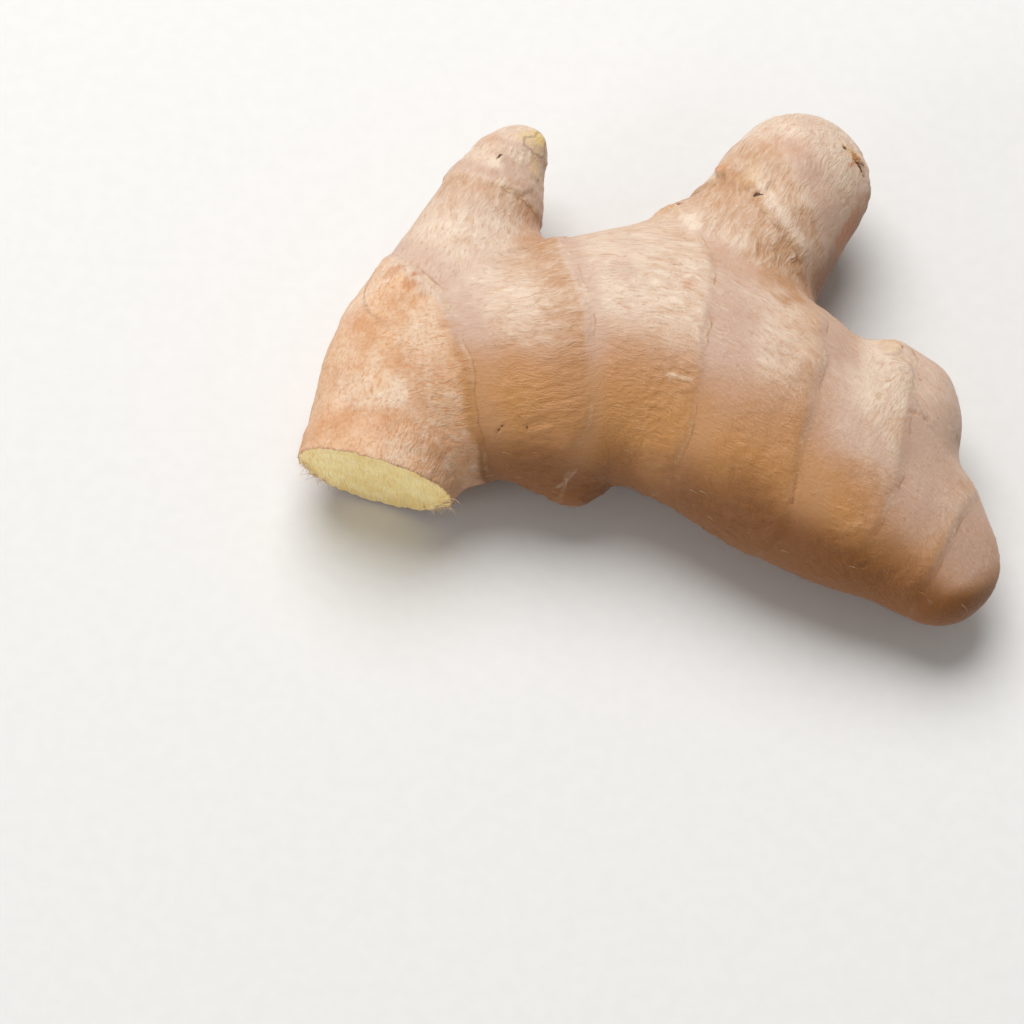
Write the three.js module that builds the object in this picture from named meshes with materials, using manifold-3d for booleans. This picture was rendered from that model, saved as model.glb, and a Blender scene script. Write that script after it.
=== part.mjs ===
// A piece of fresh ginger root: one grown rhizome with an old stub that a knife has cut through,
// a broad body, two tall fingers and two short young ends. It lies on its flatter side.
// Millimetres, +Z up. X runs from the cut stub to the youngest end, and Y from the cut side to the
// tips of the tall fingers. The origin is under the middle of the part's box.

import * as THREE from "three";
import { mergeVertices } from "three/addons/utils/BufferGeometryUtils.js";
import Module from "manifold-3d";

const CELL = 2.3; // spacing of the vertices in the skin
const STATIONS = 24; // steps along each limb's spine
const SKIN_MARGIN = 4; // room between the limbs and the edge of the grid
const TABLE_REACH = 200; // size of the blocks that cut the stub and flatten the underside
const SETTLE_STEPS = 5; // moves that bring each vertex onto the surface
const PROBE = 0.05; // half the distance over which a slope is measured

// The limbs. A station is x, y, z and half the width, flat is the thickness over the width, and
// blend is how far the limb melts into the ones before it.
const OLD_STUB = {
  flat: 0.8,
  blend: 0,
  stations: [
    [-52.9, -38.8, 12.3, 14.2],
    [-48.8, -23.0, 12.2, 14.5],
    [-44.3, -7.9, 12.0, 14.7],
    [-39.0, 6.2, 12.6, 14.5],
    [-33.4, 13.7, 13.6, 13.8],
  ],
};
const BODY = {
  flat: 0.68,
  blend: 9,
  stations: [
    [-37.4, -0.8, 14.6, 17.2],
    [-26.0, -0.6, 15.5, 21.2],
    [-15.1, -0.5, 16.2, 23.6],
    [-4.2, 0.5, 16.6, 24.4],
    [6.7, -1.9, 16.7, 24.6],
    [17.4, -8.6, 16.3, 24.0],
    [27.4, -17.6, 15.2, 21.6],
    [36.7, -25.1, 14.2, 19.2],
    [45.4, -32.2, 13.3, 15.2],
    [52.1, -40.4, 12.2, 10.5],
  ],
};
const LEFT_FINGER = {
  flat: 0.9,
  blend: 5,
  stations: [
    [-36.1, 8.3, 14.6, 14.4],
    [-31.6, 23.3, 15.3, 11.9],
    [-27.1, 34.9, 16.5, 9.3],
    [-23.9, 41.7, 17.5, 6.6],
    [-22.4, 43.7, 18.0, 5.2],
  ],
};
const SHOOT_TIP = {
  flat: 1,
  blend: 2,
  stations: [
    [-22.0, 42.3, 18.6, 4.4],
    [-19.7, 44.7, 19.6, 2.0],
  ],
};
const RIGHT_FINGER = {
  flat: 0.88,
  blend: 4,
  stations: [
    [14.6, 7.7, 15.5, 13.3],
    [20.6, 20.9, 15.9, 13.5],
    [26.4, 32.7, 16.5, 13.6],
    [29.3, 38.1, 17.0, 12.9],
  ],
};
const RIGHT_KNOB = {
  flat: 0.86,
  blend: 4,
  stations: [
    [36.9, -18.1, 14.3, 16.5],
    [42.8, -9.0, 14.3, 12.3],
    [45.3, -12.3, 14.3, 12.0],
  ],
};
const UNDER_BUD = {
  flat: 0.8,
  blend: 4,
  stations: [
    [-14.0, -17.3, 11.5, 7.6],
    [-13.0, -20.7, 10.5, 5.6],
  ],
};
const BACK_SHOULDER = {
  flat: 0.9,
  blend: 8,
  stations: [
    [-0.9, 19.4, 16.0, 6.2],
    [8.8, 25.3, 16.0, 6.8],
  ],
};
const LIMBS = [
  OLD_STUB,
  BODY,
  LEFT_FINGER,
  SHOOT_TIP,
  RIGHT_FINGER,
  RIGHT_KNOB,
  UNDER_BUD,
  BACK_SHOULDER,
];

// The rings that fallen scale leaves leave round each limb. A ring lies in the plane through at that
// faces heading and rise in degrees, and bow bends it forwards at its sides, in 1/mm. The skin
// swells to height at the ring, over before on the older side and after on the younger side, and
// only within reach of at.
const STUB_END = {
  at: [-46.4, -17.1, 13.5],
  heading: 78,
  rise: 8,
  bow: 0,
  reach: 20,
  height: 0.5,
  before: 4,
  after: 3,
};
const OLD_COLLAR = {
  at: [-32.3, 2.1, 15.5],
  heading: 23,
  rise: 14,
  bow: -0.0116,
  reach: 30,
  height: 0.8,
  before: 5,
  after: 2.2,
};
const FIRST_RING = {
  at: [-17.5, -0.4, 16.8],
  heading: 5,
  rise: -21,
  bow: 0,
  reach: 30,
  height: 0.8,
  before: 6,
  after: 2.2,
};
const SECOND_RING = {
  at: [4.9, -1.6, 16.3],
  heading: -7,
  rise: -18,
  bow: -0.0017,
  reach: 30,
  height: 0.9,
  before: 6,
  after: 2.2,
};
const THIRD_RING = {
  at: [22.6, -16.2, 17.4],
  heading: -10,
  rise: -23,
  bow: 0.0033,
  reach: 27,
  height: 1,
  before: 6,
  after: 2,
};
const FOURTH_RING = {
  at: [46.8, -20.0, 15.8],
  heading: -12,
  rise: 8,
  bow: -0.0088,
  reach: 26,
  height: 0.9,
  before: 5,
  after: 2,
};
const YOUNG_TIP_RING = {
  at: [52.1, -35.9, 13.2],
  heading: -29,
  rise: -13,
  bow: 0.0011,
  reach: 16,
  height: 0.7,
  before: 4,
  after: 2,
};
const LEFT_SHEATH = {
  at: [-27.5, 33.5, 16.9],
  heading: 65,
  rise: 3,
  bow: 0.0058,
  reach: 13,
  height: 0.9,
  before: 1.6,
  after: 5,
};
const LEFT_BUD_SCALE = {
  at: [-24.0, 43.0, 18.0],
  heading: 75,
  rise: 17,
  bow: 0,
  reach: 9,
  height: 0.6,
  before: 1.4,
  after: 3,
};
const RIGHT_CAP = {
  at: [17.8, 24.8, 21.4],
  heading: 32,
  rise: -36,
  bow: 0.0119,
  reach: 22,
  height: 1.2,
  before: 1.4,
  after: 14,
};
const RINGS = [
  STUB_END,
  OLD_COLLAR,
  FIRST_RING,
  SECOND_RING,
  THIRD_RING,
  FOURTH_RING,
  YOUNG_TIP_RING,
  LEFT_SHEATH,
  LEFT_BUD_SCALE,
  RIGHT_CAP,
];

const KNIFE_CUT = { at: [-48.7, -22.4, 12.5], heading: -107, rise: -8 };

function directionOf({ heading, rise }) {
  const turn = THREE.MathUtils.degToRad(heading);
  const lift = THREE.MathUtils.degToRad(rise);
  return new THREE.Vector3(Math.cos(lift) * Math.cos(turn), Math.cos(lift) * Math.sin(turn), Math.sin(lift));
}

// A limb's spine as evenly numbered stations on one smooth curve.
function spineOf({ stations }) {
  const path = new THREE.CatmullRomCurve3(
    stations.map(([x, y, z]) => new THREE.Vector3(x, y, z)),
    false,
    "catmullrom",
  );
  const widths = new THREE.SplineCurve(stations.map((station, i) => new THREE.Vector2(i, station[3])));
  return Array.from({ length: STATIONS + 1 }, (_, i) => ({
    at: path.getPoint(i / STATIONS),
    halfWidth: widths.getPoint(i / STATIONS).y,
  }));
}

// The distance from point to a limb's skin, measured with the limb's thickness stretched to its width.
function limbDistance({ spine, flat }, point) {
  let nearest = Infinity;
  for (let i = 0; i < spine.length - 1; i++) {
    const from = spine[i];
    const to = spine[i + 1];
    const ax = to.at.x - from.at.x;
    const ay = to.at.y - from.at.y;
    const az = (to.at.z - from.at.z) / flat;
    const px = point.x - from.at.x;
    const py = point.y - from.at.y;
    const pz = (point.z - from.at.z) / flat;
    const along = (px * ax + py * ay + pz * az) / (ax * ax + ay * ay + az * az);
    const share = THREE.MathUtils.clamp(along, 0, 1);
    const off = Math.hypot(px - share * ax, py - share * ay, pz - share * az);
    const halfWidth = THREE.MathUtils.lerp(from.halfWidth, to.halfWidth, share);
    nearest = Math.min(nearest, off - halfWidth);
  }
  return nearest;
}

function melt(a, b, blend) {
  if (blend === 0) return Math.min(a, b);
  const overlap = Math.max(blend - Math.abs(a - b), 0) / blend;
  return Math.min(a, b) - (overlap * overlap * blend) / 4;
}

// How far the rings lift the skin at point.
function ringRelief(rings, point) {
  let lift = 0;
  for (const { centre, normal, across, bow, reach, height, before, after } of rings) {
    const away = point.distanceTo(centre);
    if (away > reach) continue;
    const aside = across.dot(point) - across.dot(centre);
    const past = normal.dot(point) - normal.dot(centre) - bow * aside * aside;
    const fade = THREE.MathUtils.smoothstep(reach - away, 0, reach / 4);
    const width = past < 0 ? before : after;
    lift += height * fade * Math.exp(-((past / width) ** 2));
  }
  return lift;
}

// The closed surface where field is zero: one vertex for each grid cell that the surface crosses,
// and one quad across each grid edge that it crosses, split along the shorter diagonal.
function surfaceOf(field, box, cell) {
  const size = box.getSize(new THREE.Vector3());
  const counts = size.toArray().map((length) => Math.ceil(length / cell) + 1);
  const strides = [1, counts[0], counts[0] * counts[1]];
  const values = new Float64Array(counts[0] * counts[1] * counts[2]);
  const corner = new THREE.Vector3();
  const placeCorner = (i, j, k) => corner.set(i, j, k).multiplyScalar(cell).add(box.min);
  for (let k = 0, n = 0; k < counts[2]; k++)
    for (let j = 0; j < counts[1]; j++)
      for (let i = 0; i < counts[0]; i++, n++) values[n] = field(placeCorner(i, j, k));

  const vertexOfCell = new Map();
  const positions = [];
  for (let k = 0; k < counts[2] - 1; k++)
    for (let j = 0; j < counts[1] - 1; j++)
      for (let i = 0; i < counts[0] - 1; i++) {
        const n = i + j * strides[1] + k * strides[2];
        const crossings = crossingsOfCell(values, n, strides);
        if (crossings.length === 0) continue;
        const middle = crossings
          .reduce((sum, crossing) => sum.add(crossing), new THREE.Vector3())
          .divideScalar(crossings.length);
        const vertex = placeCorner(i, j, k).clone().addScaledVector(middle, cell);
        vertexOfCell.set(n, positions.length / 3);
        positions.push(...settle(field, vertex).toArray());
      }

  const triangles = [];
  const vertexAt = (index) => new THREE.Vector3().fromArray(positions, index * 3);
  for (let k = 1; k < counts[2] - 1; k++)
    for (let j = 1; j < counts[1] - 1; j++)
      for (let i = 1; i < counts[0] - 1; i++) {
        const n = i + j * strides[1] + k * strides[2];
        for (let axis = 0; axis < 3; axis++) {
          const inside = values[n] < 0;
          if (inside === values[n + strides[axis]] < 0) continue;
          const u = strides[(axis + 1) % 3];
          const v = strides[(axis + 2) % 3];
          const quad = [n - u - v, n - v, n, n - u].map((cellIndex) => vertexOfCell.get(cellIndex));
          if (!inside) quad.reverse();
          const [a, b, c, d] = quad;
          const shorter = vertexAt(a).distanceTo(vertexAt(c)) < vertexAt(b).distanceTo(vertexAt(d));
          triangles.push(...(shorter ? [a, b, c, a, c, d] : [a, b, d, b, c, d]));
        }
      }
  return new THREE.BufferGeometry()
    .setAttribute("position", new THREE.Float32BufferAttribute(positions, 3))
    .setIndex(triangles);
}

// Where the surface crosses the twelve edges of one grid cell, in shares of the cell.
function crossingsOfCell(values, n, strides) {
  const crossings = [];
  for (let axis = 0; axis < 3; axis++)
    for (const second of [0, 1])
      for (const third of [0, 1]) {
        const start = n + second * strides[(axis + 1) % 3] + third * strides[(axis + 2) % 3];
        const a = values[start];
        const b = values[start + strides[axis]];
        if (a < 0 === b < 0) continue;
        const crossing = new THREE.Vector3();
        crossing.setComponent(axis, a / (a - b));
        crossing.setComponent((axis + 1) % 3, second);
        crossing.setComponent((axis + 2) % 3, third);
        crossings.push(crossing);
      }
  return crossings;
}

// Moves a vertex down the slope of field until it lies on the surface.
function settle(field, vertex) {
  const slope = new THREE.Vector3();
  for (let step = 0; step < SETTLE_STEPS; step++) {
    for (const axis of [0, 1, 2]) {
      const ahead = vertex.clone();
      const behind = vertex.clone();
      ahead.setComponent(axis, vertex.getComponent(axis) + PROBE);
      behind.setComponent(axis, vertex.getComponent(axis) - PROBE);
      slope.setComponent(axis, (field(ahead) - field(behind)) / (2 * PROBE));
    }
    vertex.addScaledVector(slope, -field(vertex) / slope.lengthSq());
  }
  return vertex;
}

const wasm = await Module();
wasm.setup();

function toSolid(geometry) {
  const bare = geometry.clone();
  bare.deleteAttribute("normal");
  bare.deleteAttribute("uv");
  const merged = mergeVertices(bare);
  return new wasm.Manifold(
    new wasm.Mesh({
      numProp: 3,
      vertProperties: merged.attributes.position.array,
      triVerts: new Uint32Array(merged.index.array),
    }),
  );
}

function toGeometry(solid) {
  const { numProp, vertProperties, triVerts } = solid.getMesh();
  const positions = [];
  for (let i = 0; i < vertProperties.length; i += numProp)
    positions.push(vertProperties[i], vertProperties[i + 1], vertProperties[i + 2]);
  const geometry = new THREE.BufferGeometry();
  geometry.setAttribute("position", new THREE.Float32BufferAttribute(positions, 3));
  geometry.setIndex(new THREE.BufferAttribute(triVerts, 1));
  return geometry;
}

// A large block whose near face passes through at and looks back along direction.
function blockPast(at, direction) {
  const block = new THREE.BoxGeometry(TABLE_REACH, TABLE_REACH, TABLE_REACH);
  block.translate(0, 0, TABLE_REACH / 2);
  block.applyQuaternion(new THREE.Quaternion().setFromUnitVectors(new THREE.Vector3(0, 0, 1), direction));
  block.translate(...at);
  return toSolid(block);
}

function gingerRhizome() {
  const limbs = LIMBS.map((limb) => ({ ...limb, spine: spineOf(limb) }));
  const rings = RINGS.map((ring) => ({
    ...ring,
    centre: new THREE.Vector3(...ring.at),
    normal: directionOf(ring),
    across: directionOf({ heading: ring.heading + 90, rise: 0 }),
  }));
  const field = (point) =>
    limbs.reduce((near, limb) => melt(near, limbDistance(limb, point), limb.blend), Infinity) -
    ringRelief(rings, point);
  const box = new THREE.Box3();
  for (const { spine } of limbs)
    for (const { at, halfWidth } of spine)
      box.union(new THREE.Box3().setFromCenterAndSize(at, new THREE.Vector3().setScalar(2 * halfWidth)));
  box.expandByScalar(SKIN_MARGIN);

  const down = new THREE.Vector3(0, 0, -1);
  const whole = toSolid(surfaceOf(field, box, CELL));
  const cut = whole.subtract(blockPast(KNIFE_CUT.at, directionOf(KNIFE_CUT)));
  const geometry = toGeometry(cut.subtract(blockPast([0, 0, 0], down)));
  geometry.computeBoundingBox();
  const middle = geometry.boundingBox.getCenter(new THREE.Vector3());
  geometry.translate(-middle.x, -middle.y, -geometry.boundingBox.min.z);
  geometry.computeVertexNormals();
  return geometry;
}

const skin = new THREE.MeshStandardMaterial({ color: "#c8a384", roughness: 0.55, metalness: 0 });
const rhizome = new THREE.Mesh(gingerRhizome(), skin);
rhizome.name = "ginger_rhizome";

const gingerRoot = new THREE.Group();
gingerRoot.add(rhizome);

export default gingerRoot;
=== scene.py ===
"""Dresses a piece of fresh ginger root: its ringed skin, the knife-cut flesh, the papery leaf scales
round its rings and buds, its loose fibres, and the stage that it lies on. Lengths in the tables are
millimetres in the frame of the solid, and the Blender objects are in metres."""

import math

import bmesh
import bpy
import numpy as np
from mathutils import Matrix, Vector, noise


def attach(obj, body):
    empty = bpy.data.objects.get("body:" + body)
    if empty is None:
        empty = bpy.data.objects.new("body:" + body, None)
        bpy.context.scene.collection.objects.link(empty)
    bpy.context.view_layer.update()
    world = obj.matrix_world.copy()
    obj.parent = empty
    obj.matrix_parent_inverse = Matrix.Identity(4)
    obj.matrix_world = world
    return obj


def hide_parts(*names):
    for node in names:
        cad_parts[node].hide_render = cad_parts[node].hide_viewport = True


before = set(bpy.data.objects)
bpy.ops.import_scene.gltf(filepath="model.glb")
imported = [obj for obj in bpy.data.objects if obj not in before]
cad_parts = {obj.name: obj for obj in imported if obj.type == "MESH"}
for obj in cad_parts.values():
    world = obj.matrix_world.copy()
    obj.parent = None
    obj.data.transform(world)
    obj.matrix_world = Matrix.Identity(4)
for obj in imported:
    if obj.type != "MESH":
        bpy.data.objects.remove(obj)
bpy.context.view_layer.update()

bl_info = {
    "name": "Ginger Root",
    "version": (1, 0, 0),
    "blender": (4, 5, 0),
    "location": "View3D > Sidebar > Ginger",
    "description": "Grows the skin, scales and fibres of a piece of ginger root",
    "category": "Object",
}

MM = 0.001
NODE = "ginger_rhizome"
RHIZOME = "Ginger_Rhizome"

# The limbs: stations of x, y, z and half the width along each spine, flat for the thickness over
# the width, and blend for how far a limb melts into the ones before it.
LIMBS = {
    "old_stub": dict(flat=0.8, blend=0, stations=(
        (-52.9, -38.8, 12.3, 14.2), (-48.8, -23.0, 12.2, 14.5), (-44.3, -7.9, 12.0, 14.7),
        (-39.0, 6.2, 12.6, 14.5), (-33.4, 13.7, 13.6, 13.8))),
    "body": dict(flat=0.68, blend=9, stations=(
        (-37.4, -0.8, 14.6, 17.2), (-26.0, -0.6, 15.5, 21.2), (-15.1, -0.5, 16.2, 23.6),
        (-4.2, 0.5, 16.6, 24.4), (6.7, -1.9, 16.7, 24.6), (17.4, -8.6, 16.3, 24.0),
        (27.4, -17.6, 15.2, 21.6), (36.7, -25.1, 14.2, 19.2), (45.4, -32.2, 13.3, 15.2),
        (52.1, -40.4, 12.2, 10.5))),
    "left_finger": dict(flat=0.9, blend=5, stations=(
        (-36.1, 8.3, 14.6, 14.4), (-31.6, 23.3, 15.3, 11.9), (-27.1, 34.9, 16.5, 9.3),
        (-23.9, 41.7, 17.5, 6.6), (-22.4, 43.7, 18.0, 5.2))),
    "shoot_tip": dict(flat=1, blend=2, stations=(
        (-22.0, 42.3, 18.6, 4.4), (-19.7, 44.7, 19.6, 2.0))),
    "right_finger": dict(flat=0.88, blend=4, stations=(
        (14.6, 7.7, 15.5, 13.3), (20.6, 20.9, 15.9, 13.5), (26.4, 32.7, 16.5, 13.6),
        (29.3, 38.1, 17.0, 12.9))),
    "right_knob": dict(flat=0.86, blend=4, stations=(
        (36.9, -18.1, 14.3, 16.5), (42.8, -9.0, 14.3, 12.3), (45.3, -12.3, 14.3, 12.0))),
    "under_bud": dict(flat=0.8, blend=4, stations=(
        (-14.0, -17.3, 11.5, 7.6), (-13.0, -20.7, 10.5, 5.6))),
    "back_shoulder": dict(flat=0.9, blend=8, stations=(
        (-0.9, 19.4, 16.0, 6.2), (8.8, 25.3, 16.0, 6.8))),
}
BODY_LIMBS = ("body", "under_bud", "back_shoulder")
SIDE_LIMBS = ("old_stub", "left_finger", "shoot_tip", "right_finger", "right_knob")
SPINE_STEPS = 24

# The rings: each lies in the plane through at that faces heading and rise in degrees, bent by bow
# in 1/mm. The skin swells to height, over before on the older side and after on the younger side.
# band is how far the paler young skin reaches past the ring, from bare mm on, and warm is how tan
# the older skin next to the ring is. Bow, bare and warm are nought where they aren't given.
RINGS = {
    "stub_end": dict(at=(-46.4, -17.1, 13.5), heading=78, rise=8, reach=20, height=0.25,
                     before=3.0, after=2.4, band=0.5, limbs=("old_stub",)),
    "old_collar": dict(at=(-32.3, 2.1, 15.5), heading=23, rise=14, bow=-0.0116, reach=30, height=0.6,
                       before=3.5, after=1.3, band=11, warm=0.2,
                       limbs=BODY_LIMBS + ("left_finger",)),
    "first": dict(at=(-17.5, -0.4, 16.8), heading=5, rise=-21, reach=30, height=0.45,
                  before=5.0, after=1.5, band=6, warm=0.85, limbs=BODY_LIMBS),
    "second": dict(at=(4.9, -1.6, 16.3), heading=-7, rise=-18, bow=-0.0017, reach=30, height=0.55,
                   before=5.0, after=1.2, band=15, warm=0.25, limbs=BODY_LIMBS),
    "third": dict(at=(22.6, -16.2, 17.4), heading=-10, rise=-23, bow=0.0033, reach=27, height=0.65,
                  before=5.0, after=1.2, band=12, warm=0.5,
                  limbs=BODY_LIMBS + ("right_knob",)),
    "fourth": dict(at=(46.8, -20.0, 15.8), heading=-12, rise=8, bow=-0.0088, reach=26, height=0.5,
                   before=4.0, after=1.3, band=17, warm=0.1,
                   limbs=BODY_LIMBS + ("right_knob",)),
    "young_tip": dict(at=(52.1, -35.9, 13.2), heading=-29, rise=-13, bow=0.0011, reach=16, height=0.4,
                      before=3.0, after=1.3, band=14, warm=0.1, limbs=BODY_LIMBS),
    "left_sheath": dict(at=(-27.5, 33.5, 16.9), heading=65, rise=3, bow=0.0058, reach=13, height=0.5,
                        before=0.8, after=4.5, band=5, warm=0.6, limbs=("left_finger",)),
    "left_bud_scale": dict(at=(-24.0, 43.0, 18.0), heading=75, rise=17, reach=9, height=0.3,
                           before=0.7, after=2.5, band=2,
                           limbs=("left_finger", "shoot_tip")),
    "right_cap": dict(at=(17.8, 24.8, 21.4), heading=32, rise=-36, bow=0.0119, reach=22, height=0.9,
                      before=0.7, after=13, bare=6.0, band=17, warm=0.8, limbs=("right_finger",)),
}
GROOVED = ("old_collar", "first", "second", "third", "fourth", "young_tip")

KNIFE_CUT = dict(at=(-48.7, -22.4, 12.5), heading=-107, rise=-8)
CUT_EDGE = 0.5  # how softly the skin turns into the cut
REST_EDGE = 0.3  # and into the small flat spots that it lies on
FLESH_SINK = 0.15  # how far the drying flesh has drawn back from the skin

# Where the limbs stand out or draw in: place, how far round it, and height.
SWELLINGS = (
    ((60.4, -38.5, 15.5), 6.0, 1.0), ((60.0, -48.0, 12.5), 6.0, -0.7), ((53.0, -5.4, 18.5), 4.6, 1.3),
    ((45.6, 0.6, 20.0), 4.5, 0.8), ((54.6, -21.5, 18.0), 4.0, -0.5), ((41.5, 32.0, 17.5), 7.0, 0.8),
    ((31.9, 12.2, 19.5), 5.0, -0.9), ((-17.9, 40.5, 20.5), 6.0, -0.9), ((-16.3, 19.4, 25.4), 2.4, 0.8),
    ((7.5, 27.5, 21.0), 3.5, 0.7),
)

# Cracks, and flakes where the depth is below zero: how deep and wide they are, how dark inside, how
# worn around, or how pale where that is below zero, and the line that they follow.
CRACKS = {
    "scar_dot": dict(depth=0.4, width=0.35, dark=1.0, worn=0.4, path=(
        (35.5, 40.6, 26.4), (35.9, 40.0, 26.5))),
    "scar_start": dict(depth=0.4, width=0.42, dark=0.9, worn=0.8, path=(
        (37.2, 40.4, 25.8), (37.9, 39.7, 25.6))),
    "scar_slit": dict(depth=0.45, width=0.4, dark=1.0, worn=0.8, path=(
        (38.8, 38.5, 24.9), (39.6, 37.8, 23.8), (40.0, 37.0, 23.2), (40.9, 35.6, 21.7))),
    "scar_side": dict(depth=0.35, width=0.38, dark=0.9, worn=0.7, path=(
        (40.3, 38.7, 22.6), (41.1, 37.6, 21.3))),
    "scar_flake": dict(depth=-0.45, width=0.4, worn=0.6, path=(
        (37.9, 40.0, 25.2), (39.2, 39.3, 24.0), (40.4, 37.9, 22.9))),
    # Painted shadow: this dark slit is the shade under the curled flake beside it.
    "cap_curl_shadow": dict(depth=0.6, width=0.36, dark=1.0, worn=0.6, path=(
        (19.9, 28.4, 28.3), (20.8, 28.4, 28.6), (21.9, 28.3, 29.1))),
    "cap_flake": dict(depth=-0.7, width=0.4, worn=-0.5, path=(
        (21.9, 29.4, 29.1), (22.6, 30.6, 29.2), (23.2, 32.4, 29.2))),
    # Painted shade: the dark line is the shadow in the crease where the finger meets the body.
    "finger_base_shade": dict(depth=0.5, width=0.5, dark=0.2, worn=0.25, path=(
        (-25.6, 16.4, 27.0), (-24.2, 17.1, 26.5), (-22.3, 18.0, 26.0), (-20.5, 19.3, 25.3),
        (-19.1, 20.9, 24.1))),
    "third_crease": dict(depth=0.3, width=0.3, dark=0.4, worn=0.4, path=(
        (26.1, -31.1, 27.3), (25.2, -35.0, 24.9))),
    "fourth_crease": dict(depth=0.25, width=0.25, dark=0.2, worn=0.3, path=(
        (36.2, -42.4, 20.2), (35.4, -44.2, 17.4))),
    "knob_crease": dict(depth=0.4, width=0.32, dark=0.7, worn=0.6, path=(
        (45.4, 0.9, 21.0), (46.6, -1.4, 22.8))),
    "knob_ledge": dict(depth=0.3, width=0.35, dark=0.1, worn=0.35, path=(
        (45.9, -16.0, 27.3), (48.4, -15.7, 25.3), (50.9, -16.4, 23.2))),
    "left_mark": dict(depth=0.25, width=0.24, dark=0.9, worn=0.3, path=(
        (-27.4, -20.0, 23.3), (-26.1, -18.8, 24.6), (-25.0, -18.0, 25.4))),
    "middle_mark": dict(depth=0.25, width=0.24, dark=0.8, worn=0.3, path=(
        (-22.9, -16.9, 26.7), (-22.2, -17.5, 26.4))),
    "right_mark": dict(depth=0.25, width=0.26, dark=0.9, worn=0.3, path=(
        (-21.7, -18.2, 26.0), (-21.0, -19.1, 25.3))),
    "bud_slit": dict(depth=0.5, width=0.34, dark=0.9, worn=0.2, path=(
        (-27.0, 37.6, 24.9), (-26.0, 39.0, 24.6), (-25.0, 40.2, 24.5))),
    "back_tear": dict(depth=0.4, width=0.5, dark=0.9, worn=0.9, path=(
        (3.6, 28.6, 19.4), (6.2, 29.4, 20.2), (8.2, 28.8, 21.4))),
    "pale_scratch": dict(depth=-0.2, width=0.25, worn=-0.5, path=(
        (2.2, -11.4, 32.2), (6.2, -12.6, 32.5), (8.9, -13.3, 32.6))),
    "under_edge": dict(depth=-0.25, width=0.28, worn=-0.3, path=(
        (-16.1, -25.4, 14.5), (-14.2, -25.1, 16.2), (-12.0, -24.0, 19.4))),
}

# Blotches: place, half the width, the tone, and how strong it is.
BLOTCHES = (
    ((8.5, 6.6, 32.9), 2.6, "worn", 0.4), ((7.8, 10.8, 31.7), 2.2, "cream", 0.5),
    ((8.4, 24.0, 24.5), 3.2, "cream", 0.55), ((16.2, 34.4, 25.8), 1.6, "worn", 0.7),
    ((22.6, 40.4, 26.0), 2.0, "worn", 0.3), ((24.0, 44.0, 25.0), 1.6, "worn", 0.35),
    ((38.4, 39.6, 24.8), 2.8, "bud", 0.5), ((39.4, 38.4, 24.0), 2.8, "worn", 0.7),
    ((41.6, 33.0, 17.0), 3.0, "worn", 0.4), ((-20.5, 22.0, 24.0), 4.0, "worn", 0.2),
    ((17.0, 13.0, 29.5), 6.0, "worn", 0.3), ((-46.0, 13.6, 24.8), 2.6, "worn", 0.5),
    ((-42.4, 9.6, 27.6), 2.2, "worn", 0.6), ((-50.5, 4.0, 23.0), 6.0, "worn", 0.3),
    ((-35.4, 0.5, 29.3), 2.2, "worn", 0.4), ((-57.6, -13.5, 20.0), 4.2, "worn", 0.35),
    ((-52.0, -15.4, 23.0), 4.8, "worn", 0.3), ((-46.6, -17.0, 24.2), 4.4, "worn", 0.3),
    ((-41.0, -19.6, 23.4), 3.0, "worn", 0.3), ((-30.5, 37.0, 21.6), 1.8, "worn", 0.5),
    ((-31.5, 33.0, 23.4), 1.8, "worn", 0.4), ((-27.6, 37.0, 24.6), 2.4, "cream", 0.35),
    ((-26.0, 43.6, 21.2), 1.4, "worn", 0.6), ((-20.0, 43.6, 22.8), 3.6, "bud", 0.5),
    ((-18.6, 37.4, 21.4), 2.4, "bud", 0.5), ((36.5, -9.0, 29.6), 5.0, "cream", 0.25),
    ((-36.0, 2.0, 29.2), 3.0, "young", 0.4), ((-31.0, 5.0, 29.5), 5.0, "young", 0.6),
    # Painted shade: the large warm blotch at the foot of the right finger darkens skin that turns from
    # the light there.
    ((23.7, 14.2, 26.8), 9.0, "warm", 1.0), ((36.6, -23.4, 28.9), 8.0, "young", 0.7),
    ((14.8, 0.0, 32.6), 6.0, "young", 0.7), ((39.2, 28.5, 18.6), 6.0, "worn", 0.45),
    ((25.0, 38.0, 28.6), 6.0, "worn", 0.25), ((30.4, 24.2, 27.5), 3.5, "worn", 0.25),
    ((-30.0, 30.5, 24.9), 4.0, "worn", 0.25), ((-20.5, 25.0, 21.5), 5.0, "worn", 0.4),
    ((44.0, -34.0, 22.0), 9.0, "young", 0.5), ((-48.5, -5.5, 25.3), 4.5, "cream", 0.4),
    ((-45.0, -9.5, 25.5), 4.0, "cream", 0.4), ((38.0, 25.0, 18.6), 6.0, "worn", 0.6),
)

# Small round scars where roots were pulled off: place, half the width.
ROOT_SCARS = (
    ((-41.3, 11.5, 27.3), 0.7), ((-8.0, -22.5, 8.0), 1.7), ((2.0, -25.0, 12.0), 1.2),
    ((12.0, -30.0, 9.0), 1.6), ((30.0, -38.0, 8.0), 1.5), ((-20.0, 8.0, 0.5), 1.9),
    ((18.0, 6.0, 1.0), 1.7), ((-35.0, -25.0, 8.0), 1.3), ((44.0, -42.0, 6.0), 1.3),
    ((-30.0, 20.0, 6.0), 1.5), ((24.0, 24.0, 5.0), 1.4), ((6.0, 22.0, 8.0), 1.6),
    ((50.0, -20.0, 6.0), 1.3), ((-2.0, -12.0, 1.0), 1.5), ((-48.0, 8.0, 12.0), 1.2),
    ((-55.0, -10.0, 10.0), 1.3),
)

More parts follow.
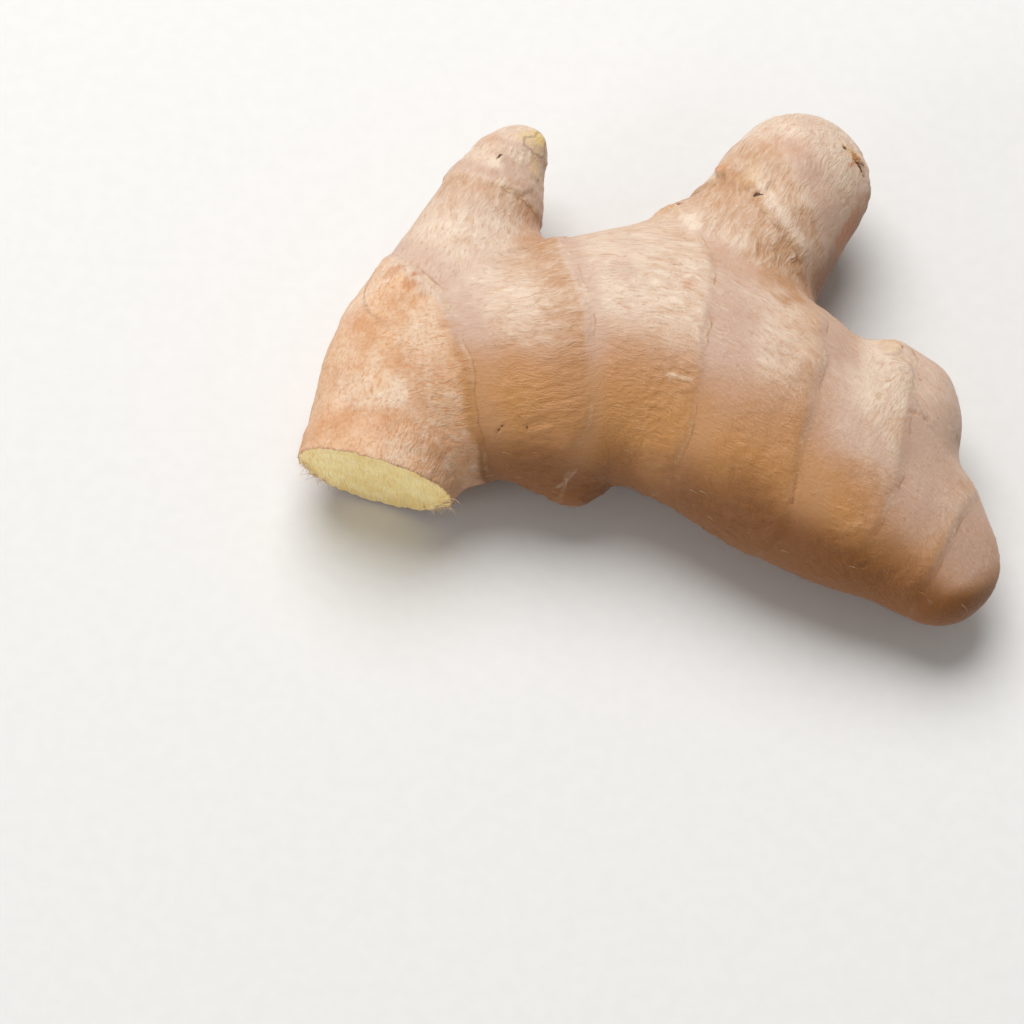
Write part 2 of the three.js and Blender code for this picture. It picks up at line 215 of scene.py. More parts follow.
# Leaf scales grown onto the skin: the middle of the free edge, the direction of growth in degrees,
# length, width, height of the free edge, and how much of the young, the bud and the worn brown
# colour it has, if any.
GROWN_SCALES = {
    "bud_round": dict(at=(-23.2, 31.6, 24.2), heading=-100, length=7.0, width=6.6, height=0.35,
                      young=0.9),
    "bud_left": dict(at=(-26.6, 40.2, 23.8), heading=60, length=5.5, width=5.0, height=0.35,
                     young=0.2, bud=0.1),
    "bud_back": dict(at=(-26.0, 44.0, 20.6), heading=50, length=3.0, width=6.0, height=0.25,
                     bud=0.1, worn=0.3),
    "bud_strip": dict(at=(-19.0, 36.0, 21.6), heading=-85, length=6.0, width=3.4, height=0.3,
                      bud=0.35, worn=0.15),
    "finger_bump": dict(at=(14.9, 35.0, 23.4), heading=-120, length=3.2, width=3.6, height=0.8,
                        bud=0.25, worn=0.6),
    "finger_corner": dict(at=(20.8, 30.4, 28.0), heading=-60, length=5.0, width=6.0, height=0.4,
                          bud=0.25, worn=0.15),
    "body_left": dict(at=(-13.6, 21.4, 21.5), heading=-20, length=4.0, width=3.5, height=0.35,
                      young=0.3, bud=0.1, worn=0.1),
    "knob_corner": dict(at=(45.8, -1.6, 21.9), heading=10, length=4.0, width=4.5, height=0.5,
                        young=0.1, bud=0.25, worn=0.2),
    "back_peel": dict(at=(6.0, 28.8, 20.6), heading=80, length=2.4, width=6.0, height=0.6,
                      bud=0.3, worn=0.3),
}
FAR = 10.0  # distance given to a limb that is too far away to matter
CRACK_REACH = 12.0  # how far from its middle a crack can be felt
SCALE_REACH = 14.0  # and how far a grown scale can
BUD_TIP = (-19.2, 44.6, 20.6)

# The stage: the floor in mm, the lights in metres, and the picture in pixels.
FLOOR_HALF = 4000.0
FLOOR_GAP = 0.05
KEY_PLACE, KEY_WIDTH = (-0.14, 0.66, 1.12), 1.2
FILL_PLACE, FILL_WIDTH = (-1.15, -0.75, 0.4), 0.8
IMAGE_SIDE = 1024


def linear(code):
    """Linear RGBA from an sRGB hex colour."""
    parts = [int(code[i:i + 2], 16) / 255 for i in (1, 3, 5)]
    return tuple(c / 12.92 if c <= 0.04045 else ((c + 0.055) / 1.055) ** 2.4 for c in parts) + (1.0,)


def colour(name, description, code):
    return bpy.props.FloatVectorProperty(
        name=name, description=description, default=linear(code), size=4, min=0, max=1, subtype="COLOR")


def length_mm(name, description, default):
    return bpy.props.FloatProperty(
        name=name, description=description, default=default * MM, min=0, precision=5,
        subtype="DISTANCE", unit="LENGTH")


class GingerForm(bpy.types.PropertyGroup):
    """Sizes of the skin's fine forms."""
    cell: length_mm("Skin cell", "Spacing of the skin's faces", 0.55)
    rough_cell: length_mm("Rough cell", "Spacing of the skin's faces in a quick look", 0.9)
    wrinkle: length_mm("Wrinkles", "Height of the lengthwise wrinkles", 0.2)
    swell: length_mm("Swellings", "Height of the uneven swellings", 0.45)
    groove: length_mm("Grooves", "Depth of the groove just past each ring", 0.08)
    fringe_spacing: length_mm("Fringe spacing", "Distance between torn strands along a ring", 1.1)
    fibre_count: bpy.props.IntProperty(
        name="Fibres", description="Loose fibres on the skin", default=420, min=0)
    cut_fibre_count: bpy.props.IntProperty(
        name="Cut fibres", description="Most fibre ends below the cut", default=90, min=0)


class GingerColours(bpy.types.PropertyGroup):
    """Colours of the skin and the flesh."""
    # Painted light: its share falls from the lit top to the shaded side, over the real pale fibres.
    pale: colour("Pale skin", "Raised fibres of the skin", "#DFCAB5")
    tan: colour("Tan skin", "Skin between the fibres", "#B4815B")
    pink: colour("Young skin", "Pinkish grey skin just past a ring", "#BF9D89")
    old: colour("Old skin", "Corky skin of the old stub", "#DDB591")
    old_deep: colour("Old skin, deep", "Cracks of the corky skin", "#BF8250")
    # Painted shade: the brown laid on skin turned away from the key light, over some real soil stain.
    under: colour("Lower skin", "Skin that lay in the soil longest", "#BC8446")
    # Painted shade: the dark brown of the underside that faces the table.
    belly_shade: colour("Underside", "Skin that faces the table", "#7A4716")
    crease: colour("Creases", "Lines at the rings", "#9C6632")
    scar: colour("Scars", "Dry scars and cracks", "#4A2C14")
    # Painted highlight where it lies on the crests of the wrinkles and streaks; the rubbed pale spots are
    # the skin's own colour.
    cream: colour("Cream skin", "Crests of the wrinkles and rubbed pale spots", "#EFDFC9")
    # Painted shade where it lies in the valleys of the wrinkles; next to the rings it is the skin's own
    # tone.
    warm: colour("Warm skin", "Older skin next to a ring, and valleys of the wrinkles", "#B07C4E")
    worn: colour("Worn skin", "Orange brown skin that was rubbed or torn", "#B9713A")
    bud: colour("Bud", "Cream skin of the growing tip", "#E2C382")
    flesh: colour("Flesh", "Cut flesh", "#FFE9A8")
    flesh_deep: colour("Flesh, deep", "Oilier parts of the cut flesh", "#F0CB72")
    flesh_rim: colour("Flesh rim", "Cut flesh next to the skin", "#FADF9E")
    fibre: colour("Fibres", "Loose fibres", "#DDC5A2")
    floor: colour("Floor", "Pale floor", "#E2E1DF")


class GingerStage(bpy.types.PropertyGroup):
    """The camera and the lights."""
    elevation: bpy.props.FloatProperty(
        name="Elevation", description="Angle of the camera above the floor",
        default=math.radians(62), subtype="ANGLE", unit="ROTATION")
    distance: length_mm("Distance", "Camera to the point that it looks at", 750)
    aim: bpy.props.FloatVectorProperty(
        name="Aim", description="Point that the camera looks at",
        default=(-0.0238, -0.0298, 0.014), subtype="XYZ", unit="LENGTH")
    scale: bpy.props.FloatProperty(
        name="Scale", description="Pixels for a millimetre at that point", default=5.6, min=0.1)
    key: bpy.props.FloatProperty(
        name="Key light", description="Soft light from above and behind", default=19.5,
        min=0, subtype="POWER", unit="POWER")
    fill: bpy.props.FloatProperty(
        name="Fill light", description="Weak light from the left", default=6.0,
        min=0, subtype="POWER", unit="POWER")
    ambient: bpy.props.FloatProperty(
        name="Ambient", description="Strength of the pale surroundings", default=0.3, min=0)


def dots(a, b):
    return np.einsum("ij,ij->i", a, b)


class Limb:
    """One limb: a smooth spine through its stations, and half of its width along it."""

    def __init__(self, flat, blend, stations):
        self.flat, self.blend = flat, blend
        rows = np.array(stations, float)
        before, after = 2 * rows[0] - rows[1], 2 * rows[-1] - rows[-2]
        self.knots = np.vstack([before, rows, after])
        self.last = len(rows) - 1
        self.places = np.linspace(0, self.last, SPINE_STEPS + 1)
        steps = np.linalg.norm(np.diff(self.at(self.places)[0][:, :3], axis=0), axis=1)
        self.run = np.concatenate([[0], np.cumsum(steps)])
        self.low = (rows[:, :3] - rows[:, 3:]).min(axis=0) - FAR
        self.high = (rows[:, :3] + rows[:, 3:]).max(axis=0) + FAR

    def at(self, place):
        """The spine and half the width at places along the limb, with their slope and bend."""
        i = np.minimum(place.astype(int), self.last - 1)
        t = (place - i)[:, None]
        a, b, c, d = (self.knots[i + k] for k in range(4))
        first, second, third = c - a, 2 * a - 5 * b + 4 * c - d, 3 * b - a - 3 * c + d
        spot = b + 0.5 * (first * t + second * t**2 + third * t**3)
        return spot, 0.5 * first + second * t + 1.5 * third * t**2, second + 3 * third * t

    def nearest(self, points):
        """Distance to the limb's skin, or FAR, and the place on its spine that is nearest."""
        stretch = np.array((1, 1, 1 / self.flat))
        all_gaps, all_places = np.full(len(points), FAR), np.zeros(len(points))
        close = np.flatnonzero(np.all((points > self.low) & (points < self.high), axis=1))
        points = points[close] * stretch
        least = np.full(len(points), np.inf)
        place = np.zeros(len(points))
        for spot, row in zip(self.places, self.at(self.places)[0]):
            off = points - row[:3] * stretch
            here = np.sqrt(dots(off, off)) - row[3]
            closer = here < least
            least[closer] = here[closer]
            place[closer] = spot
        for _ in range(3):
            spot, slope, bend = self.at(place)
            widening = slope[:, 3]
            spine, slope, bend = (rows[:, :3] * stretch for rows in (spot, slope, bend))
            off = spine - points
            pull = dots(slope, slope)
            step = dots(off, slope) - widening * np.sqrt(dots(off, off))
            step /= np.maximum(pull + dots(off, bend), 0.3 * pull)
            place = np.clip(place - step, 0, self.last)
        spot = self.at(place)[0]
        off = points - spot[:, :3] * stretch
        all_gaps[close], all_places[close] = np.sqrt(dots(off, off)) - spot[:, 3], place
        return all_gaps, all_places

    def grain(self, points, place):
        """Coordinates in mm along, across and above the spine, the direction of growth, and how much the
        skin faces up, with a lean to the back, from -1 to 1.
        That direction lies close to the key light's, and the painted shade is laid by it."""
        spine, slope, _ = (rows[:, :3] for rows in self.at(place))
        along = slope / np.linalg.norm(slope, axis=1)[:, None]
        aside = np.cross((0, 0, 1), along)
        aside /= np.linalg.norm(aside, axis=1)[:, None]
        off = points - spine
        run = np.interp(place, self.places, self.run) + dots(off, along)
        facing = off @ direction(90, 55) / np.maximum(np.linalg.norm(off, axis=1), 0.1)
        return np.stack([run, dots(off, aside), dots(off, np.cross(along, aside))], -1), along, facing


LIMB = {name: Limb(**limb) for name, limb in LIMBS.items()}


def direction(heading, rise):
    turn, lift = math.radians(heading), math.radians(rise)
    return np.array((math.cos(lift) * math.cos(turn), math.cos(lift) * math.sin(turn), math.sin(lift)))


def smooth_step(low, high, values):
    t = np.clip((values - low) / (high - low), 0, 1)
    return t * t * (3 - 2 * t)


def melt(a, b, blend):
    """The smaller of a and b, rounded where they meet."""
    if not blend:
        return np.minimum(a, b)
    return np.minimum(a, b) - np.maximum(blend - np.abs(a - b), 0) ** 2 / (4 * blend)


def noise_at(points, size, seed):
    """Smooth noise from about -1 to 1, with forms of the given size in mm along each axis."""
    moved = points / np.array(size) + seed * np.array((17.3, 5.1, 29.7))
    return np.array([noise.noise(p) for p in moved.tolist()])


def bare_skin(points):
    """Signed distance to the limbs, without any relief."""
    near = np.full(len(points), np.inf)
    for limb in LIMB.values():
        near = melt(near, limb.nearest(points)[0], limb.blend)
    return near


def past_cut(points):
    return (points - KNIFE_CUT["at"]) @ direction(KNIFE_CUT["heading"], KNIFE_CUT["rise"])


def skin(points, relief, cut_relief):
    """Signed distance to the finished surface, for relief that stays with each point."""
    body = bare_skin(points) - relief
    flesh = past_cut(points) - cut_relief + FLESH_SINK * smooth_step(0.3, 1.3, -body)
    near = -melt(-body, -flesh, CUT_EDGE)
    return -melt(-near, points[:, 2], REST_EDGE)


def settle(points, relief, rounds, cut_relief=0.0):
    """Moves points onto the finished surface, and gives its outward directions."""
    points = points.copy()
    probe = 0.04
    for _ in range(rounds):
        here = skin(points, relief, cut_relief)
        slope = np.stack([
            skin(points + probe * axis, relief, cut_relief) - here for axis in np.eye(3)], -1) / probe
        size = np.maximum(dots(slope, slope), 0.05)
        move = np.clip(here / size, -1.5, 1.5)
        points -= move[:, None] * slope
    return points, slope / np.sqrt(size)[:, None]


def tangents(heading, out):
    """The direction of growth laid onto the skin there, and the direction across it."""
    along = direction(heading, 0)
    along = along - out * (along @ out)
    along /= np.linalg.norm(along)
    return along, np.cross(out, along)


def path_distance(points, path):
    """Distance in mm from points to a line of straight pieces, and the share along it."""
    path = np.array(path, float)
    best = np.full(len(points), np.inf)
    share_at = np.zeros(len(points))
    for i, (a, b) in enumerate(zip(path[:-1], path[1:])):
        way = b - a
        share = np.clip((points - a) @ way / (way @ way), 0, 1)
        gap = np.linalg.norm(points - a - share[:, None] * way, axis=1)
        closer = gap < best
        best[closer] = gap[closer]
        share_at[closer] = (i + share[closer]) / (len(path) - 1)
    return best, share_at


class Surface:
    """What the skin is like at each point: how it belongs to the limbs, its relief and its marks."""

    def __init__(self, points, form):
        self.points = points
        gaps, places = {}, {}
        for name, limb in LIMB.items():
            gaps[name], places[name] = limb.nearest(points)
        self.gaps = gaps
        body_gap = np.min([gaps[n] for n in BODY_LIMBS], axis=0)
        side_gap = np.min([gaps[n] for n in SIDE_LIMBS], axis=0)
        self.side_share = smooth_step(-2.5, 2.5, body_gap - side_gap)
        self.body_grain, body_along, body_facing = LIMB["body"].grain(points, places["body"])
        self.side_grain = np.zeros_like(points)
        side_facing = np.zeros(len(points))
        side_along = np.zeros_like(points)
        for k, name in enumerate(SIDE_LIMBS):
            mine = gaps[name] <= side_gap
            grain, along, side_facing[mine] = LIMB[name].grain(points[mine], places[name][mine])
            self.side_grain[mine] = grain + (0, 0, 60 * k)
            side_along[mine] = along
        self.facing = body_facing * (1 - self.side_share) + side_facing * self.side_share
        growth = body_along * (1 - self.side_share)[:, None] + side_along * self.side_share[:, None]
        self.growth = growth / np.linalg.norm(growth, axis=1)[:, None]
        self.relief = np.zeros(len(points))
        self.line_gap = np.full(len(points), FAR)
        self.torn = np.zeros(len(points))
        self.pale_edge_and_highlight = np.zeros(len(points))
        self.crack_gap = np.full(len(points), FAR)
        self.dark = np.zeros(len(points))
        self.crumple = np.zeros(len(points))
        self.tone = {name: np.zeros(len(points)) for name in ("young", "warm", "worn", "bud", "cream")}
        everywhere = np.arange(len(points))
        collar = self.past_ring(RINGS["old_collar"], 1, everywhere) + 1.8 * noise_at(points, 5, 9)
        self.old = smooth_step(1.5, -3.5, collar)
        self.add_swellings()
        self.add_rings(form)
        self.add_grown_scales()
        self.add_wrinkles(form)
        self.add_cracks()
        self.add_blotches()

    def stain(self, name, near, share):
        """Gives the points of near at least that share of a tone."""
        self.tone[name][near] = np.maximum(self.tone[name][near], share)

    def draw_line(self, near, gap, torn, pale_edge_and_highlight):
        """Keeps the nearest line: its distance, below zero on the raised side, and how it shows."""
        closer = np.abs(gap) < np.abs(self.line_gap[near])
        self.line_gap[near[closer]] = gap[closer]
        self.torn[near[closer]] = torn[closer]
        self.pale_edge_and_highlight[near[closer]] = pale_edge_and_highlight[closer]

    def add_swellings(self):
        for place, reach, height in SWELLINGS:
            self.relief += height * np.exp(-(dots(self.points - place, self.points - place) / reach**2))

    def past_ring(self, ring, seed, near):
        """How far those points are past a ring, in mm, with the ring's own unevenness."""
        points = self.points[near]
        off = points - ring["at"]
        aside = off @ direction(ring["heading"] + 90, 0)
        past = off @ direction(ring["heading"], ring["rise"]) - ring.get("bow", 0) * aside**2
        past += 1.2 * noise_at(points, 10, seed) + 0.4 * noise_at(points, 2.6, seed + 20)
        return past + 0.2 * noise_at(points, 0.9, seed + 30)

    def add_rings(self, form):
        skin_gap = np.min(list(self.gaps.values()), axis=0)
        for seed, (name, ring) in enumerate(RINGS.items()):
            near = np.flatnonzero(np.linalg.norm(self.points - ring["at"], axis=1) < ring["reach"])
            points = self.points[near]
            past = self.past_ring(ring, seed, near)
            away = np.linalg.norm(points - ring["at"], axis=1)
            own_gap = np.min([self.gaps[n][near] for n in ring["limbs"]], axis=0)
            fade = smooth_step(0, ring["reach"] / 4, ring["reach"] - away)
            fade *= smooth_step(3.5, 0.5, own_gap - skin_gap[near])
            uneven = np.clip(0.75 + 0.7 * noise_at(points, 7, seed + 40), 0.15, 1.3)
            width = np.where(past < 0, ring["before"], ring["after"])
            self.relief[near] += ring["height"] * fade * uneven * np.exp(-((past / width) ** 2))
            side = -1 if ring["before"] < ring["after"] else 1
            foot = side * past - 1.2 * min(ring["before"], ring["after"])
            torn = smooth_step(-0.15, 0.35, noise_at(points, 5, seed + 60)) * fade
            # Painted highlight: pale lit edges along the ring's raised side, over pale torn scale.
            pale_edge_and_highlight = smooth_step(-0.1, 0.3, noise_at(points, 4, seed + 75)) * fade
            if name in GROOVED:
                self.relief[near] -= form.groove / MM * torn * np.exp(-((foot / 0.5) ** 2))
            if name not in ("stub_end", "left_bud_scale"):
                self.draw_line(near, foot, torn, pale_edge_and_highlight)
            bare = ring.get("bare", 0)
            band = smooth_step(-1.0, 1.6, past - bare)
            band *= smooth_step(ring["band"], ring["band"] * 0.3, past - bare)
            self.stain("young", near, band * fade)
            if bare:
                between = smooth_step(1.0, 2.4, past) * smooth_step(bare + 1, bare - 1, past)
                self.stain("warm", near, 0.55 * between * fade)
            older = smooth_step(-11, -1.5, past) * smooth_step(0.8, -0.6, past) * fade
            self.stain("warm", near, ring.get("warm", 0) * older)
            self.crumple[near] = np.maximum(self.crumple[near], older)

    def add_grown_scales(self):
        for seed, scale in enumerate(GROWN_SCALES.values()):
            near = np.flatnonzero(np.linalg.norm(self.points - scale["at"], axis=1) < SCALE_REACH)
            points = self.points[near]
            root, out = settle(np.array([scale["at"]], float), 0.0, 4)
            along, across = tangents(scale["heading"], out[0])
            off = points - root[0]
            u = 2 * off @ across / scale["width"]
            v = off @ along + 0.33 * scale["width"] * u**2
            v += 0.35 * noise_at(points, 2.2, seed + 110) + 0.15 * noise_at(points, 0.8, seed + 111)
            on_skin = smooth_step(-5, -3, off @ out[0])
            ends = smooth_step(1.25, 0.8, np.abs(u)) * on_skin
            rise = smooth_step(-scale["length"], 0, v) * smooth_step(0.35, 0.0, v) * ends
            self.relief[near] += scale["height"] * rise
            self.draw_line(near, np.where(ends > 0.05, v - 0.25, FAR), 0.2 * ends, 0.3 * ends)
            inside = smooth_step(-scale["length"] - 1, -scale["length"] + 2, v)
            inside *= smooth_step(0.3, -0.3, v) * smooth_step(1.2, 0.6, np.abs(u)) * on_skin
            for name in ("young", "bud", "worn"):
                self.stain(name, near, scale.get(name, 0) * inside)

    def add_wrinkles(self, form):
        warp = np.stack([noise_at(self.points, 4, 70 + k) for k in range(3)], -1)

        def along_grain(size, seed):
            body = noise_at(self.body_grain + 0.9 * warp, size, seed)
            side = noise_at(self.side_grain + 0.9 * warp, size, seed + 1)
            return body + self.side_share * (side - body)

        smooth = (1 - 0.6 * self.old) * (1 - 0.7 * self.tone["young"])
        patchy = 0.2 + 0.55 * self.crumple
        patchy += 0.9 * smooth_step(-0.25, 0.45, noise_at(self.points, 8, 73))
        crinkle = 0.7 * along_grain((3.4, 1.3, 1.3), 62) + along_grain((1.9, 0.75, 0.75), 64)
        crinkle += 0.15 - 0.8 * np.abs(along_grain((2.4, 1.0, 1.0), 68))
        seam = self.side_share * (1 - self.side_share)
        self.crinkle = smooth * patchy * (1 - 2.8 * seam) * crinkle
        self.relief += form.wrinkle / MM * self.crinkle
        self.relief += form.swell / MM * noise_at(self.points, 15, 60)
        self.relief += 0.35 * form.swell / MM * noise_at(self.points, 6.5, 61)
        self.relief += 0.12 * self.old * noise_at(self.points, 1.4, 66)
        self.relief += 0.14 * self.old * along_grain((3.4, 5, 5), 67)

    def add_cracks(self):
        for seed, crack in enumerate(CRACKS.values()):
            middle = np.mean(crack["path"], axis=0)
            near = np.flatnonzero(np.linalg.norm(self.points - middle, axis=1) < CRACK_REACH)
            path, _ = settle(np.array(crack["path"]), 0.0, 4)
            gap, share = path_distance(self.points[near], path)
            gap += 0.8 * crack["width"] * noise_at(self.points[near], 1.4, seed + 80)
            gap += 0.5 * crack["width"] * noise_at(self.points[near], 0.7, seed + 90)
            ends = smooth_step(0, 0.3, share) * smooth_step(1, 0.7, share) * 0.7 + 0.3
            wide = crack["width"] * ends
            cut = np.exp(-((np.maximum(gap, 0) / wide) ** 2))
            self.relief[near] -= crack["depth"] * cut
            self.relief[near] += 0.4 * crack["depth"] * np.exp(-(((gap - 2 * wide) / wide) ** 2))
            closer = gap / wide < self.crack_gap[near]
            self.crack_gap[near[closer]] = (gap / wide)[closer]
            self.dark[near[closer]] = crack.get("dark", 0)
            around = np.exp(-((np.maximum(gap, 0) / (2.0 * wide)) ** 2))
            self.stain("worn" if crack["worn"] > 0 else "cream", near, abs(crack["worn"]) * around)
        for place, half in ROOT_SCARS:
            gap = np.linalg.norm(self.points - place, axis=1)
            gap = gap - np.maximum(gap.min(), 0) + 0.2
            self.relief += 0.3 * np.exp(-(((gap - half) / 0.45) ** 2))
            self.relief -= 0.35 * np.exp(-((gap / (0.7 * half)) ** 2))
            self.tone["worn"] = np.maximum(self.tone["worn"], 0.7 * np.exp(-((gap / half) ** 4)))

    def add_blotches(self):
        for seed, (place, half, name, share) in enumerate(BLOTCHES):
            near = np.flatnonzero(np.linalg.norm(self.points - place, axis=1) < 2 * half + 1)
            gap = np.linalg.norm(self.points[near] - place, axis=1)
            gap += 0.7 * half * noise_at(self.points[near], half, seed + 120)
            gap += 0.5 * half * noise_at(self.points[near], 0.4 * half, seed + 150)
            self.stain(name, near, share * smooth_step(half, 0.4 * half, gap))


def add_node(tree, kind, inputs=None, **settings):
    """A new node with its settings, and its inputs set or linked by name or number."""
    node = tree.nodes.new(kind)
    for name, value in settings.items():
        setattr(node, name, value)
    for key, value in (inputs or {}).items():
        if isinstance(value, bpy.types.NodeSocket):
            tree.links.new(value, node.inputs[key])
        else:
            node.inputs[key].default_value = value
    return node


def new_material(name):
    material = bpy.data.materials.new(name)
    material.use_nodes = True
    material.node_tree.nodes.clear()
    return material, material.node_tree


def layered(tree, tone, layers):
    """Colours laid over one another: each layer's share is the product of its spread out values."""
    for over, *parts in layers:
        share = 1.0
        for value, low, high, least, most in parts:
            spread = add_node(tree, "ShaderNodeMapRange", {
                0: value, 1: low, 2: high, 3: least, 4: most}, interpolation_type="SMOOTHSTEP")
            share = add_node(tree, "ShaderNodeMath", {
                0: spread.outputs[0], 1: share}, operation="MULTIPLY").outputs[0]
        tone = add_node(tree, "ShaderNodeMix", {0: share, 6: tone, 7: over}, data_type="RGBA").outputs[2]
    return tone


def ginger_skin_material(colours):
    """Thin fibrous skin, silky where it is young and corky where it is old, round moist flesh.
    To the eye it is pale tan with hair-fine lengthwise streaks, and the cut face is waxy yellow."""
    material, tree = new_material("Fresh ginger skin and cut flesh")
    c = {name: tuple(getattr(colours, name)) for name in GingerColours.__annotations__}
    given = {name: add_node(tree, "ShaderNodeAttribute", attribute_name=name).outputs["Fac"] for name in (
        "side_share", "lower_side_shade", "belly_shade", "crinkle", "line_gap", "torn", "pale_edge_and_highlight", "crack_gap", "dark",
        "young", "warm", "worn", "bud", "cream", "old_skin", "flesh_depth")}
    place = add_node(tree, "ShaderNodeTexCoord").outputs["Object"]

    # Streaks along the growth of the body and of the side limbs: length and spacing in mm, detail.
    streaks = {}
    sway = add_node(tree, "ShaderNodeTexNoise", {
        "Vector": place, "Scale": 1 / (4 * MM), "Detail": 1.0}).outputs["Color"]
    for name, length, spacing, detail in (("fine", 2.4, 0.5, 3.0), ("broad", 6.0, 1.6, 2.0)):
        both = []
        for run in ("body_grain", "side_grain"):
            along = add_node(tree, "ShaderNodeAttribute", attribute_name=run).outputs["Vector"]
            bent = add_node(tree, "ShaderNodeVectorMath", {
                0: sway, 1: (2.4, 2.4, 2.4), 2: along}, operation="MULTIPLY_ADD").outputs[0]
            drawn = add_node(tree, "ShaderNodeVectorMath", {
                0: bent, 1: (1 / length, 1 / spacing, 1 / spacing)}, operation="MULTIPLY").outputs[0]
            both.append(add_node(tree, "ShaderNodeTexNoise", {
                "Vector": drawn, "Scale": 1.0, "Detail": detail, "Roughness": 0.6}).outputs["Fac"])
        streaks[name] = add_node(tree, "ShaderNodeMix", {
            0: given["side_share"], 2: both[0], 3: both[1]}, data_type="FLOAT").outputs[0]
    fine = streaks["fine"]
    fibres = add_node(tree, "ShaderNodeMix", {0: 0.45, 2: fine, 3: streaks["broad"]},
                      data_type="FLOAT").outputs[0]

    # Even mottling: size of its patches in mm, detail, and how it is moved so that no two agree.
    mottle = {}
    for name, size, detail, moved in (
            ("patch", 9.0, 2.0, 0.0), ("cloud", 14.0, 2.0, 0.31), ("speck", 0.7, 2.0, 0.57),
            ("grit", 2.0, 3.0, 0.83), ("pulp", 4.0, 3.0, 0.2)):
        aside = add_node(tree, "ShaderNodeVectorMath", {0: place, 1: (moved,) * 3}, operation="ADD")
        mottle[name] = add_node(tree, "ShaderNodeTexNoise", {
            "Vector": aside.outputs[0], "Scale": 1 / (size * MM), "Detail": detail,
            "Roughness": 0.55}).outputs["Fac"]
    patch, cloud, speck, grit = (mottle[name] for name in ("patch", "cloud", "speck", "grit"))

    # low is the painted shade mask. It browns the skin turned away from the key light with the under
    # colour, and keeps the pale, pink, cream, fibre and old layers to the lit top.
    low, old, gap = given["lower_side_shade"], given["old_skin"], given["line_gap"]
    skin_tone = layered(tree, c["tan"], (
        # Painted highlight: the pale fibres keep to the top that faces the key light.
        (c["pale"], (fibres, 0.3, 0.7, 0.6, 0.95), (low, 0.05, 0.66, 1.05, 0.06)),
        (c["pink"], (patch, 0.45, 0.75, 0.0, 0.4), (low, 0.1, 0.5, 1.0, 0.4)),
        (c["warm"], (cloud, 0.5, 0.72, 0.0, 0.35)),
        (c["under"], (low, 0.25, 1.0, 0.0, 0.97), (cloud, 0.3, 0.6, 1.0, 0.75),
         (old, 0.0, 1.0, 1.0, 0.5)),
        (c["warm"], (given["warm"], 0.0, 1.0, 0.0, 0.8), (fibres, 0.35, 0.65, 1.0, 0.6)),
        (c["pink"], (given["young"], 0.0, 1.0, 0.0, 0.85), (cloud, 0.3, 0.6, 0.6, 1.0),
         (low, 0.3, 0.8, 1.0, 0.2)),
        # Painted shade in warm in the valleys of the fine streaks and wrinkles, and painted highlight in
        # cream on their crests, more on the lit top.
        (c["warm"], (fine, 0.46, 0.3, 0.0, 0.35)),
        (c["cream"], (fine, 0.55, 0.74, 0.0, 0.25), (low, 0.0, 0.9, 1.0, 0.2)),
        (c["warm"], (given["crinkle"], 0.0, -0.35, 0.0, 0.16)),
        (c["cream"], (given["crinkle"], 0.05, 0.5, 0.0, 0.12), (low, 0.0, 0.6, 1.0, 0.2)),
        # Painted shade on the underside.
        (c["belly_shade"], (given["belly_shade"], 0.0, 1.0, 0.0, 0.9)),
        (c["old"], (old, 0.1, 0.9, 0.0, 0.95), (low, 0.2, 1.0, 1.0, 0.45)),
        (c["old_deep"], (old, 0.1, 0.9, 0.0, 1.0), (patch, 0.42, 0.68, 0.0, 0.6)),
        (c["pale"], (old, 0.1, 0.9, 0.0, 1.0), (cloud, 0.55, 0.4, 0.0, 0.45), (low, 0.2, 0.8, 1.0, 0.4)),
        (c["old_deep"], (old, 0.1, 0.9, 0.0, 1.0), (speck, 0.54, 0.34, 0.0, 0.4)),
        (c["old_deep"], (old, 0.1, 0.9, 0.0, 1.0), (fine, 0.46, 0.32, 0.0, 0.6)),
        (c["cream"], (old, 0.1, 0.9, 0.0, 1.0), (grit, 0.5, 0.72, 0.0, 0.28)),
        (c["crease"], (speck, 0.62, 0.76, 0.0, 0.3)),
        (c["bud"], (given["bud"], 0.0, 1.0, 0.0, 1.0), (grit, 0.25, 0.6, 0.6, 1.0)),
        (c["cream"], (given["cream"], 0.0, 1.0, 0.0, 0.9), (speck, 0.35, 0.6, 0.6, 1.0)),
        (c["worn"], (given["worn"], 0.0, 1.0, 0.0, 1.0), (grit, 0.32, 0.6, 0.45, 1.0)),
        # Painted highlight along the raised ring edges, over pale torn scale, weaker on the shaded lower
        # side.
        (c["fibre"], (given["pale_edge_and_highlight"], 0.0, 1.0, 0.0, 0.6), (gap, -1.1, -0.5, 0.0, 1.0),
         (gap, 0.1, -0.2, 0.0, 1.0), (speck, 0.38, 0.6, 0.2, 1.0), (low, 0.2, 0.8, 1.0, 0.3)),
        (c["crease"], (given["torn"], 0.0, 0.8, 0.0, 0.5), (gap, -0.25, 0.0, 0.0, 1.0),
         (gap, 0.4, 0.1, 0.0, 1.0), (grit, 0.35, 0.6, 0.3, 1.0)),
        (c["scar"], (given["dark"], 0.0, 1.0, 0.0, 1.0), (given["crack_gap"], 1.1, 0.55, 0.0, 0.95)),
    ))

